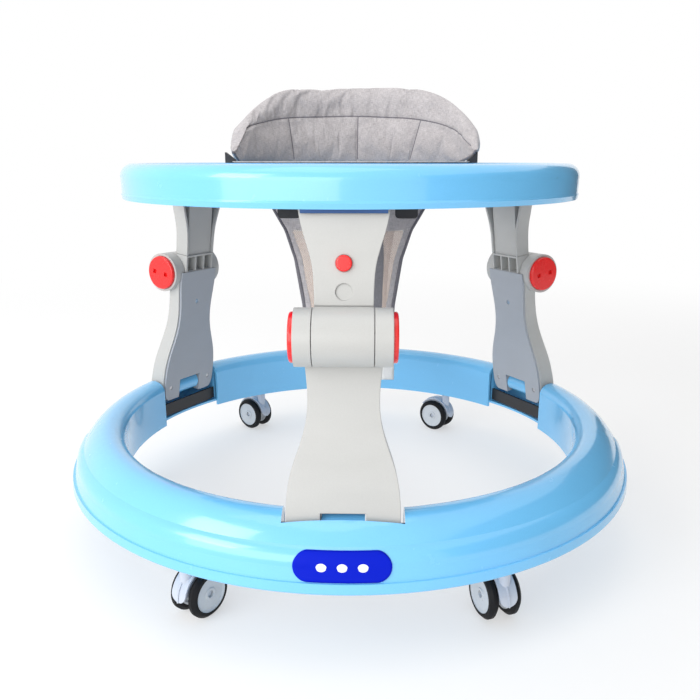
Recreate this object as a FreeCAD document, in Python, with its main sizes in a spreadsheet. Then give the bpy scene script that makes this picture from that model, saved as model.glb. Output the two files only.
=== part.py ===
import FreeCAD, Part
import math
import os
import Sketcher
from FreeCAD import Placement, Rotation, Vector

# A folding baby walker: a round base ring on six twin-wheel casters, three jointed legs,
# a round tray, and a fabric seat with a padded backrest.
#
# Frame: millimetres, +Z up, the origin on the floor under the centre of the base ring,
# the front leg towards -Y.  Angles are counted from the front leg, positive towards +X.

X_AXIS = Vector(1, 0, 0)
Y_AXIS = Vector(0, 1, 0)
Z_AXIS = Vector(0, 0, 1)
ORIGIN = Vector(0, 0, 0)

LEGS = {"front": 0, "rear_right": 120, "rear_left": -120}

# Angles of the screws that hold the base ring's floor plate.
SCREW_ANGLES = [-165, -135, -105, -75, -45, -15, 15, 45, 75, 105, 135, 165]

# Screws of a leg's inner cover: (across the leg, up the leg).
SCREW_PLACES = [(0, 131), (-38, 6), (38, 6)]

# Caster name: (angle of its stem round the ring, heading of its trail from +X), degrees.
CASTERS = {
    "front_left": (-30, 56),
    "front_right": (30, 110),
    "mid_left": (-90, 100),
    "mid_right": (90, 75),
    "rear_left": (-150, 143),
    "rear_right": (150, 143),
}

DIMENSIONS = {
    # base ring
    "ring_outer_radius": 340, "ring_inner_radius": 279, "ring_wall": 3,
    "ring_bottom_z": 68, "lip_bottom_z": 74, "lip_top_z": 85, "ring_crest_z": 132,
    "bumper_step": 5, "bumper_front_reach": 80, "bumper_rear_reach": 35,
    "floor_thickness": 3, "pocket_half_width": 55, "pocket_outer_radius": 307.5,
    "strap_bottom_z": 79, "strap_height": 17, "strap_thickness": 3,
    # base hinge
    "hinge_radius": 291.5, "hinge_z": 116, "hinge_pin_radius": 3, "lug_radius": 12,
    "lug_half_width": 19.5, "running_gap": 0.05,
    # legs
    "lower_lean": 10.5, "upper_lean": 7.6, "knee_radius": 275, "knee_z": 287.5,
    "leg_inner_face": 13, "leg_wall": 3, "panel_thickness": 3,
    "barrel_radius": 26, "barrel_inner_x": 27.2, "barrel_outer_x": 43,
    "centre_barrel_half": 26.6, "knee_pin_radius": 5,
    "button_radius": 22.5, "button_inner_x": 40.5, "button_outer_x": 47.5,
    "button_pocket_x": 37, "button_gap": 0.3,
    "sleeve_front": 8, "sleeve_back": 28, "sleeve_bottom": 26.8, "tray_pin_height": 120,
    "tray_pin_depth": 18, "bar_half_width": 22.6, "bar_top": 108,
    "lock_height": 64, "lock_radius": 7.3, "height_step": 25,
    # casters
    "caster_circle": 307, "caster_trail": 16, "wheel_radius": 24.5, "hub_radius": 18.3,
    "wheel_inner_y": 7.5, "wheel_width": 9.5, "axle_radius": 2.5, "stem_radius": 4,
    "stem_top_z": 96, "boss_radius": 8, "hood_half_width": 9.3,
    # tray
    "tray_outer_radius": 262, "tray_bottom_z": 396, "tray_top_z": 433.5, "deck_z": 430,
    "tray_wall": 3, "seat_hole_radius": 150, "seat_centre_y": 40, "collar_bottom_z": 410,
    "well_radius": 36, "well_depth": 18, "well_circle": 203, "well_angle": 55,
    "under_plate_z": 398, "under_plate_radius": 257.5, "post_circle": 215,
    # seat
    "sling_thickness": 4, "sling_bottom_z": 178, "sling_top_z": 428,
    "pad_outer_radius": 170, "pad_inner_radius": 150.5, "pad_top_z": 535,
    "plate_thickness": 2.5,
}

doc = FreeCAD.newDocument("baby_walker")
sheet = doc.addObject("Spreadsheet::Sheet", "Dimensions")
for row, (alias, value) in enumerate(DIMENSIONS.items(), start=1):
    sheet.set("A%d" % row, alias)
    sheet.set("B%d" % row, str(value))
    sheet.setAlias("B%d" % row, alias)
doc.recompute()

nodes = []


# ---------------------------------------------------------------- helpers

def size(alias):
    """The value of one driving dimension, read back from the spreadsheet."""
    return float(sheet.get(alias))


def bind(item, **expressions):
    """Bind properties of a document object to expressions over the spreadsheet."""
    for prop, expression in expressions.items():
        item.setExpression(prop, expression)


def cell(alias):
    return "Dimensions." + alias


def add_node(item, label, placement=None):
    """Register a document object as a sub-part with its own label and placement."""
    item.Label = label
    if placement is not None:
        item.Placement = placement
    nodes.append(item)
    return item


def shape_node(label, shape, placement=None):
    """A sub-part whose shape is worked out from the sheet."""
    item = doc.addObject("Part::Feature", label)
    item.Shape = shape
    return add_node(item, label, placement)


def turn_z(angle):
    return Placement(ORIGIN, Rotation(Z_AXIS, angle))


def box(x_low, x_high, y_low, y_high, z_low, z_high):
    return Part.makeBox(x_high - x_low, y_high - y_low, z_high - z_low, Vector(x_low, y_low, z_low))


def rod(radius, start, end):
    """A solid cylinder from one point to another."""
    axis = end - start
    return Part.makeCylinder(radius, axis.Length, start, axis)


def rod_x(radius, y, z, x_low, x_high):
    return rod(radius, Vector(x_low, y, z), Vector(x_high, y, z))


def prism(points, direction):
    """Extrude a closed polygon."""
    return Part.Face(Part.makePolygon(points + [points[0]])).extrude(direction)


def ring(inner, outer, z_low, z_high, centre_y=0):
    centre = Vector(0, centre_y, z_low)
    body = Part.makeCylinder(outer, z_high - z_low, centre)
    return body.cut(Part.makeCylinder(inner, z_high - z_low, centre))


def revolved(edges, sweep=360, middle=0):
    """Turn a closed profile in the XZ plane round Z, centred on an angle from the front."""
    body = Part.Face(Part.Wire(edges)).revolve(ORIGIN, Z_AXIS, sweep)
    body.rotate(ORIGIN, Z_AXIS, middle - 90 - sweep / 2)
    return body


def ring_body(section, sweeps_wide):
    """A ring of the stepped section, widened to the full section along the bumper stretches."""
    body = revolved(section(size("bumper_step")))
    for middle, reach in sweeps_wide:
        body = body.fuse(revolved(section(0), 2 * reach, middle))
    return body


def line(start, end):
    return Part.LineSegment(Vector(start[0], 0, start[1]), Vector(end[0], 0, end[1])).toShape()


def arc(start, middle, end):
    points = [Vector(p[0], 0, p[1]) for p in (start, middle, end)]
    return Part.Arc(*points).toShape()


def curve(points):
    """A smooth line through the points of a profile."""
    spline = Part.BSplineCurve()
    spline.interpolate([Vector(r, 0, z) for r, z in points])
    return spline.toShape()


def waisted(stations, inset, y_low, y_high):
    """A plate whose half width follows a smooth curve through (height, half width)."""
    right = [Vector(half - inset, y_low, z) for z, half in stations]
    left = [Vector(-p.x, p.y, p.z) for p in reversed(right)]
    sides = []
    for points in (right, left):
        spline = Part.BSplineCurve()
        spline.interpolate(points)
        sides.append(spline.toShape())
    top = Part.LineSegment(right[-1], left[0]).toShape()
    bottom = Part.LineSegment(left[-1], right[0]).toShape()
    face = Part.Face(Part.Wire([sides[0], top, sides[1], bottom]))
    return face.extrude(Vector(0, y_high - y_low, 0))


def fused(shapes):
    return shapes[0].fuse(shapes[1:]).removeSplitter()


def everywhere(shape, angles):
    """Copies of a shape turned about Z to each angle."""
    copies = []
    for angle in angles:
        copy = shape.copy()
        copy.rotate(ORIGIN, Z_AXIS, angle)
        copies.append(copy)
    return copies


# ---------------------------------------------------------------- base ring

# The ring's rounded top, from the inner wall to the crease: (share of the width, drop below the crest).
RING_TOP = [(0, 12), (0.07, 4.7), (0.21, 0.5), (0.36, 0), (0.53, 3.8), (0.67, 10.5), (0.785, 19)]


def ring_profile(inset, step=0):
    """The ring's section: outer band, crease, rounded top and inner wall, moved in by inset.

    step takes the outer band further in and leaves the rest of the section as it is."""
    full = size("ring_outer_radius") - 3 - inset
    outer = full - step
    inner = size("ring_inner_radius") + inset
    crest = size("ring_crest_z") - inset
    low_in = size("ring_bottom_z")
    low_out = size("lip_top_z")
    top = [(inner + share * (full - inner), crest - drop) for share, drop in RING_TOP]
    crease = top[-1]
    band_top = (outer - 3, low_out + 12)
    band_middle = ((band_top[0] + crease[0]) / 2 + 2.1, (band_top[1] + crease[1]) / 2 + 0.9)
    return [
        line((outer, low_out), band_top),
        arc(band_top, band_middle, crease),
        curve(top[::-1]),
        line(top[0], (inner, low_in)),
        line((inner, low_in), (outer, low_in)),
        line((outer, low_in), (outer, low_out)),
    ]


def base_hinge_lug():
    """The moulded lug that each leg's foot straddles, with its web to the ring."""
    radius = size("hinge_radius")
    height = size("hinge_z")
    half = size("lug_half_width")
    barrel = rod_x(size("lug_radius"), -radius, height, -half, half)
    web = box(-half, half, -size("pocket_outer_radius") - 1, -radius, height - 9, height + 8)
    lug = barrel.fuse(web)
    return lug.cut(rod_x(size("hinge_pin_radius"), -radius, height, -half - 1, half + 1))


def base_shell():
    """Blue top moulding: hollow ring, three leg pockets, hinge lugs and screw pillars."""
    wall = size("ring_wall")
    solid_ring = ring_body(lambda step: ring_profile(0, step), bumpers())
    hollow = ring_body(lambda step: ring_profile(wall, step), bumpers(0.5))
    below_lip = ring(size("ring_inner_radius") + wall, size("ring_outer_radius") + 5,
                     size("ring_bottom_z") - 1, size("lip_top_z"))
    shell = solid_ring.cut(hollow).cut(below_lip)

    half = size("pocket_half_width")
    back = size("pocket_outer_radius")
    floor_z = size("lip_bottom_z") + size("floor_thickness")
    pocket = box(-half, half, -back, -size("ring_inner_radius") + 10, 0, 200)
    liner = box(-half - wall, half + wall, -back - wall, -size("ring_inner_radius") - 1,
                floor_z, 200)
    pillar = rod(5, Vector(0, -size("caster_circle"), floor_z), Vector(0, -size("caster_circle"), 140))
    bore = rod(1.6, Vector(0, -size("caster_circle"), floor_z),
               Vector(0, -size("caster_circle"), floor_z + 14))
    angles = LEGS.values()
    liners = [item.common(solid_ring) for item in everywhere(liner, angles)]
    pillars = [item.common(solid_ring) for item in everywhere(pillar, SCREW_ANGLES)]
    shell = shell.fuse(liners + pillars)
    shell = shell.cut(everywhere(pocket, angles) + everywhere(bore, SCREW_ANGLES))
    shell = shell.fuse(everywhere(base_hinge_lug(), angles))

    pin_hole = rod_x(size("hinge_pin_radius"), -size("hinge_radius"), size("hinge_z"),
                     -half - wall - 1, half + wall + 1)
    return shell.cut(everywhere(pin_hole, angles)).removeSplitter()


def bumpers(shorter=0):
    """Where the outer band stands proud: (middle angle, reach to each side), degrees."""
    return [(0, size("bumper_front_reach") - shorter), (180, size("bumper_rear_reach") - shorter)]


def rim_profile(step):
    """Section of the floor plate with its outer lip."""
    outer = size("ring_outer_radius") - step
    low = size("lip_bottom_z")
    plate_top = low + size("floor_thickness")
    inner = size("ring_inner_radius") + size("ring_wall")
    high = size("lip_top_z")
    return [
        line((inner, low), (outer - 3, low)),
        arc((outer - 3, low), (outer - 0.9, low + 0.9), (outer, low + 3)),
        line((outer, low + 3), (outer - 1, high)),
        line((outer - 1, high), (outer - 6, high)),
        line((outer - 6, high), (outer - 7, plate_top)),
        line((outer - 7, plate_top), (inner, plate_top)),
        line((inner, plate_top), (inner, low)),
    ]


def base_rim():
    """Lower moulding: floor plate that closes the ring, outer lip, and holes for the casters."""
    plate = ring_body(rim_profile, bumpers())
    circle = size("caster_circle")
    caster_hole = rod(size("boss_radius") - 1.5, Vector(0, -circle, 0), Vector(0, -circle, 200))
    screw_hole = rod(1.6, Vector(0, -circle, 0), Vector(0, -circle, 200))
    angles = [angle for angle, heading in CASTERS.values()]
    return plate.cut(everywhere(caster_hole, angles) + everywhere(screw_hole, SCREW_ANGLES))


def leg_straps():
    """Steel straps that tie the ring's ends together below the legs."""
    half = size("pocket_half_width")
    outer = size("ring_inner_radius") + 2
    low = size("strap_bottom_z")
    strap = box(-half, half, -outer - size("strap_thickness"), -outer, low, low + size("strap_height"))
    return Part.Compound(everywhere(strap, LEGS.values()))


def caster_sockets():
    """Black sockets, one per caster, with a collar below the floor plate."""
    circle = size("caster_circle")
    plate_top = size("lip_bottom_z") + size("floor_thickness")
    top = size("stem_top_z") + 4
    barrel = rod(size("boss_radius"), Vector(0, -circle, plate_top), Vector(0, -circle, top))
    neck = rod(size("boss_radius") - 1.5, Vector(0, -circle, 62), Vector(0, -circle, plate_top))
    bore = rod(size("stem_radius") + size("running_gap"), Vector(0, -circle, 60),
               Vector(0, -circle, size("stem_top_z") + 1))
    socket = barrel.fuse(neck).cut(bore)
    angles = [angle for angle, heading in CASTERS.values()]
    return Part.Compound(everywhere(socket, angles))


def base_hinge_pins():
    reach = size("pocket_half_width") + size("ring_wall")
    pin = rod_x(size("hinge_pin_radius"), -size("hinge_radius"), size("hinge_z"), -reach, reach)
    return Part.Compound(everywhere(pin, LEGS.values()))


def base_screws():
    """Pan-head screws that hold the floor plate to the pillars."""
    circle = size("caster_circle")
    low = size("lip_bottom_z")
    head = rod(3.2, Vector(0, -circle, low - 2), Vector(0, -circle, low))
    shank = rod(1.6, Vector(0, -circle, low), Vector(0, -circle, low + 15))
    return Part.Compound(everywhere(head.fuse(shank), SCREW_ANGLES))


# ---------------------------------------------------------------- legs
# A leg part is drawn upright: X across the leg, +Y towards the walker's centre, +Z up the leg.
# The lower leg's origin is its base hinge and the upper leg's origin is the knee.

LOWER_OUTLINE = [(-13, 43), (-9, 48), (0, 50.8), (10, 51.3), (35, 50), (53, 46.5), (80, 37.7),
                 (101, 33), (125, 32.5), (150, 35), (180, 35)]
UPPER_OUTLINE = [(24, 26.2), (45, 26.6), (64, 28.5), (84, 34), (105, 39.3), (132, 39.5)]


def lower_placement(angle):
    hinge = Placement(Vector(0, -size("hinge_radius"), size("hinge_z")),
                      Rotation(X_AXIS, -size("lower_lean")))
    return turn_z(angle).multiply(hinge)


def upper_placement(angle):
    knee = Placement(Vector(0, -size("knee_radius"), size("knee_z")),
                     Rotation(X_AXIS, -size("upper_lean")))
    return turn_z(angle).multiply(knee)


def knee_in_lower_frame():
    knee = Vector(0, -size("knee_radius"), size("knee_z"))
    return lower_placement(0).inverse().multVec(knee)


def knee_level_box(lean, y, z, up):
    """Everything above (or below) the horizontal plane through the knee, in a leaning frame."""
    low, high = (0, 120) if up else (-120, 0)
    half_space = box(-100, 100, -100, 100, low, high)
    half_space.rotate(ORIGIN, X_AXIS, lean)
    half_space.translate(Vector(0, y, z))
    return half_space


def lower_leg_envelope():
    """Outer form of the lower leg between its foot and the knee, in its own frame."""
    face = size("leg_inner_face")
    knee = knee_in_lower_frame()
    plate = waisted(LOWER_OUTLINE, 0, -30, face)
    side = [Vector(-80, -face, 0), Vector(-80, -face, 12), Vector(-80, -7, 140),
            Vector(-80, -7, 200), Vector(-80, face, 200), Vector(-80, face, -face),
            Vector(-80, 0, -face), Vector(-80, 0, 0)]
    side_solid = prism(side, Vector(160, 0, 0)).fuse(rod_x(face, 0, 0, -80, 80))
    envelope = plate.common(side_solid)
    above = knee_level_box(size("lower_lean"), knee.y, knee.z - 0.3, True)
    return envelope.cut(above)


def lower_leg():
    """White outer shell of the lower leg, with the two outer knee barrels and the foot prongs."""
    wall = size("leg_wall")
    face = size("leg_inner_face")
    panel_back = face - size("panel_thickness")
    knee = knee_in_lower_frame()
    shell = lower_leg_envelope().cut(box(-80, 80, panel_back, 40, -60, 260))

    cavity = waisted([(z, half) for z, half in LOWER_OUTLINE if 20 < z < 160], wall,
                     -4, panel_back + 1)
    shell = shell.cut(cavity)
    bosses = []
    for x, z in SCREW_PLACES[:1]:
        bosses.append(rod(4.5, Vector(x, -5, z), Vector(x, panel_back, z)))
    shell = shell.fuse(bosses)

    radius = size("barrel_radius")
    for side in (-1, 1):
        span = sorted((side * size("barrel_inner_x"), side * size("barrel_outer_x")))
        shell = shell.fuse(rod_x(radius, knee.y, knee.z, *span))
    centre_gap = size("barrel_inner_x")
    shell = shell.cut(rod_x(radius + 0.5, knee.y, knee.z, -centre_gap, centre_gap))
    shell = shell.cut(rod_x(size("knee_pin_radius"), knee.y, knee.z, -60, 60))
    for side in (-1, 1):
        span = sorted((side * size("button_pocket_x"), side * 60))
        shell = shell.cut(rod_x(size("button_radius") + size("button_gap"), knee.y, knee.z, *span))

    lug_gap = size("lug_half_width") + 1
    shell = shell.cut(box(-lug_gap, lug_gap, -40, 40, -40, size("lug_radius") + 2.5))
    shell = shell.cut(rod_x(size("hinge_pin_radius") + size("running_gap"), 0, 0, -80, 80))
    for x, z in SCREW_PLACES:
        shell = shell.cut(rod(1.5, Vector(x, panel_back - 9, z), Vector(x, panel_back, z)))
    return shell.removeSplitter()


def leg_panel():
    """Grey inner cover of the lower leg, with a notch for the hinge lug and screw recesses."""
    face = size("leg_inner_face")
    back = face - size("panel_thickness")
    knee = knee_in_lower_frame()
    panel = waisted(LOWER_OUTLINE, 2, back, face)
    panel = panel.cut(knee_level_box(size("lower_lean"), knee.y, knee.z - 0.3, True))
    panel = panel.cut(rod_x(size("barrel_radius") + 0.5, knee.y, knee.z, -60, 60))
    lug_gap = size("lug_half_width") + 1
    panel = panel.cut(box(-lug_gap, lug_gap, 0, 40, -40, size("lug_radius") + 2.5))
    for x, z in SCREW_PLACES:
        panel = panel.cut(rod(3.1, Vector(x, face - 2, z), Vector(x, face + 1, z)))
        panel = panel.cut(rod(1.6, Vector(x, back - 1, z), Vector(x, face, z)))
    return panel


def leg_screws():
    face = size("leg_inner_face")
    screws = []
    for x, z in SCREW_PLACES:
        head = rod(2.9, Vector(x, face - 2, z), Vector(x, face - 0.6, z))
        shank = rod(1.5, Vector(x, face - 10, z), Vector(x, face - 2, z))
        screws.append(head.fuse(shank))
    return Part.Compound(screws)


def knee_bar():
    """Centre knee barrel with its neck, the ribbed back pocket and the bar inside the sleeve."""
    half = size("centre_barrel_half")
    back = size("sleeve_back")
    neck_top = size("sleeve_bottom") - 0.4
    barrel = rod_x(size("barrel_radius"), 0, 0, -half, half)
    neck = box(-half + 0.4, half - 0.4, 0, back, -8, neck_top)
    neck = neck.cut(knee_level_box(size("upper_lean"), 0, 0, False))
    neck = neck.cut(box(-60, 60, 0, size("sleeve_front"), 8, 60))
    body = barrel.fuse(neck)
    for x_low, x_high in ((-23.5, -9.2), (-7, 7), (9.2, 23.5)):
        body = body.cut(box(x_low, x_high, back - 12, back + 1, 4.5, neck_top - 2.5))
    bar_half = size("bar_half_width")
    bar_front = size("sleeve_front") + 3.5
    bar = box(-bar_half, bar_half, bar_front, back - 2.5, neck_top - 3, size("bar_top"))
    low = size("lock_height") - size("lock_radius") - 1
    high = size("lock_height") + size("lock_radius") + size("height_step") + 1
    groove = box(-size("lock_radius") - 0.6, size("lock_radius") + 0.6, bar_front - 1, bar_front + 6.2,
                 low, high)
    body = body.fuse(bar.cut(groove))
    bore = rod_x(size("knee_pin_radius") + size("running_gap"), 0, 0, -60, 60)
    return body.cut(bore).removeSplitter()


def sleeve(pin_hole_radius):
    """White telescoping sleeve: a tapered cover, open to the back, hung from the tray's pin."""
    front = size("sleeve_front")
    back = size("sleeve_back")
    bottom = size("sleeve_bottom")
    pin_z = size("tray_pin_height")
    pin_y = size("tray_pin_depth")
    wall = size("leg_wall")
    plate = waisted(UPPER_OUTLINE, 0, front, back)
    side = box(-60, 60, front, back, bottom, pin_z).fuse(rod_x(10, pin_y, pin_z, -60, 60))
    side = side.cut(box(-60, 60, -60, 60, pin_z + 8.6, pin_z + 20))
    body = plate.common(side)
    cavity_top = pin_z - 10
    stations = [(z, half) for z, half in UPPER_OUTLINE if z < cavity_top]
    cavity = waisted(stations + [(cavity_top, UPPER_OUTLINE[-1][1])], wall, front + wall, back + 1)
    body = body.cut(cavity)
    lock_z = size("lock_height")
    button_hole = rod(size("lock_radius") + 0.2, Vector(0, front - 1, lock_z), Vector(0, front + 4, lock_z))
    dimple_z = lock_z - size("height_step")
    dimple = rod(size("lock_radius") + 0.2, Vector(0, front - 1, dimple_z),
                 Vector(0, front + 1.3, dimple_z))
    body = body.cut(button_hole).cut(dimple)
    return body.cut(rod_x(pin_hole_radius, pin_y, pin_z, -60, 60)).removeSplitter()


def knee_button(side):
    """Red release button in the end of a knee barrel, with two square finger holes."""
    inner = size("button_inner_x")
    outer = size("button_outer_x")
    disc = rod_x(size("button_radius"), 0, 0, inner, outer)
    rims = [edge for edge in disc.Edges
            if edge.BoundBox.XLength < 0.01 and edge.BoundBox.XMin > outer - 0.01]
    disc = disc.makeFillet(2, rims)
    for y in (-10, 10):
        disc = disc.cut(box(outer - 3.5, outer + 1, y - 2.8, y + 2.8, -2.8, 2.8))
    if side < 0:
        disc = disc.mirror(ORIGIN, X_AXIS)
    return disc


def height_button():
    """Red lock button on the sleeve's front, with a stub in the bar's groove."""
    front = size("sleeve_front")
    height = size("lock_height")
    cap = rod(size("lock_radius"), Vector(0, front - 3.4, height), Vector(0, front + 3, height))
    rims = [edge for edge in cap.Edges
            if edge.BoundBox.YLength < 0.01 and edge.BoundBox.YMax < front - 3]
    cap = cap.makeFillet(1.6, rims)
    return cap.fuse(rod(4, Vector(0, front + 3, height), Vector(0, front + 5.5, height)))


# ---------------------------------------------------------------- casters
# A caster is drawn with its stem on Z, trailing towards +X, its axle along Y, and Z as built.

def caster_placement(name):
    angle, heading = CASTERS[name]
    stem = turn_z(angle).multVec(Vector(0, -size("caster_circle"), 0))
    return Placement(stem, Rotation(Z_AXIS, heading))


def caster_hood():
    """Mudguard over the gap between the wheels: a tongue in front with a rib, and a short tail."""
    trail = size("caster_trail")
    radius = size("wheel_radius")
    half = size("hood_half_width")
    start = Vector(trail, -half, radius)
    hood = Part.makeCylinder(radius + 3.4, 2 * half, start, Y_AXIS)
    rib = Part.makeCylinder(radius + 4.4, 1.6, Vector(trail, -0.8, radius), Y_AXIS)
    hood = hood.fuse(rib).cut(Part.makeCylinder(radius + 1.4, 2 * half, start, Y_AXIS))
    tip_z = radius - 1
    tongue = box(-60, trail, -half, half, tip_z + half, 100)
    tongue = tongue.fuse(rod(half, Vector(-60, 0, tip_z + half), Vector(trail, 0, tip_z + half)))
    tail = box(trail, trail + 60, -half, half, radius + 15, 100)
    return hood.common(tongue.fuse(tail))


def caster_yoke():
    """Caster body between the wheels, its hood over the tyres, the stem and the axle."""
    trail = size("caster_trail")
    radius = size("wheel_radius")
    axle_end = size("wheel_inner_y") + size("wheel_width") - 2.8
    half_web = size("wheel_inner_y") - 1
    hub = Vector(trail, -half_web, radius)
    web = Part.makeCylinder(radius + 2.4, 2 * half_web, hub, Y_AXIS)
    web = web.cut(box(trail - 60, trail + 60, -20, 20, -10, radius + 4))
    axle_boss = Part.makeCylinder(8, 2 * half_web, hub, Y_AXIS)
    stem_boss = rod(6.2, Vector(0, 0, 34), Vector(0, 0, 60))
    body = fused([web, axle_boss, stem_boss, caster_hood()])
    axle_hole = rod(size("axle_radius"), Vector(trail, -30, radius), Vector(trail, 30, radius))
    stem_hole = rod(size("stem_radius"), Vector(0, 0, 40), Vector(0, 0, 70))
    body = body.cut([axle_hole, stem_hole])
    axle = rod(size("axle_radius"), Vector(trail, -axle_end, radius), Vector(trail, axle_end, radius))
    stem = rod(size("stem_radius"), Vector(0, 0, 40), Vector(0, 0, size("stem_top_z")))
    return Part.Compound([body, axle, stem])


def caster_wheel_bodies(label, side):
    """One wheel of a twin caster as two revolved bodies: its tyre and its hub."""
    near = cell("wheel_inner_y")
    far = near + " + " + cell("wheel_width")
    radius = cell("wheel_radius")
    hub = cell("hub_radius")
    bore = "%s + %s" % (cell("axle_radius"), cell("running_gap"))
    tyre_points = [(hub, near), (radius + " - 3", near), (radius, near + " + 3"),
                   (radius, far + " - 3"), (radius + " - 3", far), (hub, far)]
    inner_recess = near + " + 2"
    outer_recess = far + " - 1.8"
    hub_points = [(bore, near), ("8", near), ("8.5", inner_recess), (hub + " - 2.6", inner_recess),
                  (hub + " - 2", near), (hub, near), (hub, far + " - 0.8"), (hub + " - 2", outer_recess),
                  ("6.5", outer_recess), ("6", far + " - 0.8"), ("3.6", far + " - 0.8"),
                  ("3.6", far + " - 4"), (bore, far + " - 4")]
    bodies = []
    for part_name, points in (("tyre", tyre_points), ("hub", hub_points)):
        body = doc.addObject("PartDesign::Body", label + "_" + part_name)
        sketch = body.newObject("Sketcher::SketchObject", label + "_" + part_name + "_section")
        plane = [item for item in body.Origin.OriginFeatures if item.Role == "XY_Plane"][0]
        sketch.AttachmentSupport = [(plane, "")]
        sketch.MapMode = "FlatFace"
        draw_polygon(sketch, points)
        turned = body.newObject("PartDesign::Revolution", label + "_" + part_name + "_turned")
        turned.Profile = sketch
        turned.ReferenceAxis = (sketch, ["V_Axis"])
        turned.Angle = 360
        trail = Vector(size("caster_trail"), 0, size("wheel_radius"))
        flip = 180 if side < 0 else 0
        body.Placement = Placement(trail, Rotation(Z_AXIS, flip))
        bodies.append(body)
    return bodies


def draw_polygon(sketch, points):
    """A closed polygon whose corner distances are all bound to the spreadsheet."""
    count = len(points)
    guess = [Vector(20 + 5 * math.cos(2 * math.pi * i / count),
                    12 + 5 * math.sin(2 * math.pi * i / count), 0) for i in range(count)]
    for index in range(count):
        sketch.addGeometry(Part.LineSegment(guess[index], guess[(index + 1) % count]), False)
    for index in range(count):
        sketch.addConstraint(Sketcher.Constraint("Coincident", index, 2, (index + 1) % count, 1))
    for index, (x_text, y_text) in enumerate(points):
        for kind, text, value in (("DistanceX", x_text, guess[index].x),
                                  ("DistanceY", y_text, guess[index].y)):
            number = sketch.addConstraint(Sketcher.Constraint(kind, -1, 1, index, 1, value))
            sketch.setExpression("Constraints[%d]" % number, text)


def add_caster_wheel(name, side):
    label = "wheel_%s_%s" % (name, "a" if side < 0 else "b")
    wheel = doc.addObject("Part::Compound", label)
    wheel.Links = caster_wheel_bodies(label, side)
    add_node(wheel, label, caster_placement(name))


# ---------------------------------------------------------------- tray

def tray_profile(inset):
    """Section of the tray's outer rim and deck, from the rim's foot to the deck's centre."""
    outer = size("tray_outer_radius") - inset
    low = size("tray_bottom_z")
    top = size("tray_top_z") - inset
    deck = size("deck_z") - inset
    bead = low + 7
    inner = 120
    return [
        line((outer - 1.2, low), (outer, bead - 2)),
        line((outer, bead - 2), (outer - 1, bead)),
        line((outer - 1, bead), (outer - 0.6, top - 15)),
        arc((outer - 0.6, top - 15), (outer - 4.6, top - 4), (outer - 15, top)),
        line((outer - 15, top), (outer - 19, top)),
        line((outer - 19, top), (outer - 26, deck)),
        line((outer - 26, deck), (inner, deck)),
        line((inner, deck), (inner, low)),
        line((inner, low), (outer - 1.2, low)),
    ]


def tray_shell():
    """Blue tray moulding: rounded rim, deck, seat collar and two side wells."""
    wall = size("tray_wall")
    disc = revolved(tray_profile(0))
    disc = disc.fuse(Part.makeCylinder(121, size("deck_z") - size("tray_bottom_z"),
                                       Vector(0, 0, size("tray_bottom_z"))))
    hollow = revolved(tray_profile(wall))
    hollow = hollow.fuse(Part.makeCylinder(121, size("deck_z") - wall - size("tray_bottom_z"),
                                           Vector(0, 0, size("tray_bottom_z"))))
    shell = disc.cut(hollow)
    seat_y = size("seat_centre_y")
    hole = size("seat_hole_radius")
    collar = ring(hole, hole + 4, size("collar_bottom_z"), size("tray_top_z"), seat_y)
    well_r = size("well_radius")
    well_floor = size("deck_z") - size("well_depth")
    cups = []
    hollows = [Part.makeCylinder(hole, 100, Vector(0, seat_y, 380))]
    for side in (-1, 1):
        centre = turn_z(side * size("well_angle")).multVec(Vector(0, -size("well_circle"), 0))
        cups.append(Part.makeCylinder(well_r + 2.5, size("well_depth") + 2.5,
                                      Vector(centre.x, centre.y, well_floor - 2.5)))
        hollows.append(Part.makeCylinder(well_r, 60, Vector(centre.x, centre.y, well_floor)))
    shell = shell.fuse([collar] + cups)
    return shell.cut(hollows).removeSplitter()


def tray_underside():
    """Three dark blue plates hung from the deck on posts, with two hinge ears beside each leg."""
    ceiling = size("deck_z") - size("tray_wall")
    low = size("under_plate_z")
    inner = size("seat_hole_radius") + 4.5
    outer = size("under_plate_radius")
    plate = Part.makeCylinder(outer, 3, Vector(0, 0, low))
    plate = plate.cut(Part.makeCylinder(inner, 10, Vector(0, size("seat_centre_y"), low - 2)))
    sleeve_slot = box(-43.5, 43.5, -outer, -100, low - 1, low + 4)
    knee_slot = box(-50, 50, -168, -60, low - 1, low + 4)
    plate = plate.cut(everywhere(sleeve_slot.fuse(knee_slot), LEGS.values()))
    post = rod(4, Vector(0, -size("post_circle"), low), Vector(0, -size("post_circle"), ceiling))
    plate = plate.fuse(everywhere(post, [leg + side * 25 for leg in LEGS.values() for side in (-1, 1)]))
    pin = upper_placement(0).multVec(Vector(0, size("tray_pin_depth"), size("tray_pin_height")))
    ears = []
    for x_low in (-47, 43.5):
        ear = box(x_low, x_low + 3.5, pin.y - 9, pin.y + 9, low, pin.z)
        ear = ear.fuse(rod_x(9, pin.y, pin.z, x_low, x_low + 3.5))
        ears.append(ear.common(box(-60, 60, pin.y - 9, pin.y + 9, low, 500)))
    plate = plate.fuse([copy for ear in ears for copy in everywhere(ear, LEGS.values())])
    hole = rod_x(size("hinge_pin_radius"), pin.y, pin.z, -60, 60)
    return plate.cut(everywhere(hole, LEGS.values())).removeSplitter()


def tray_hinge_pins():
    pin = upper_placement(0).multVec(Vector(0, size("tray_pin_depth"), size("tray_pin_height")))
    shaft = rod_x(size("hinge_pin_radius"), pin.y, pin.z, -47, 47)
    return Part.Compound(everywhere(shaft, LEGS.values()))


# ---------------------------------------------------------------- seat

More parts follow.
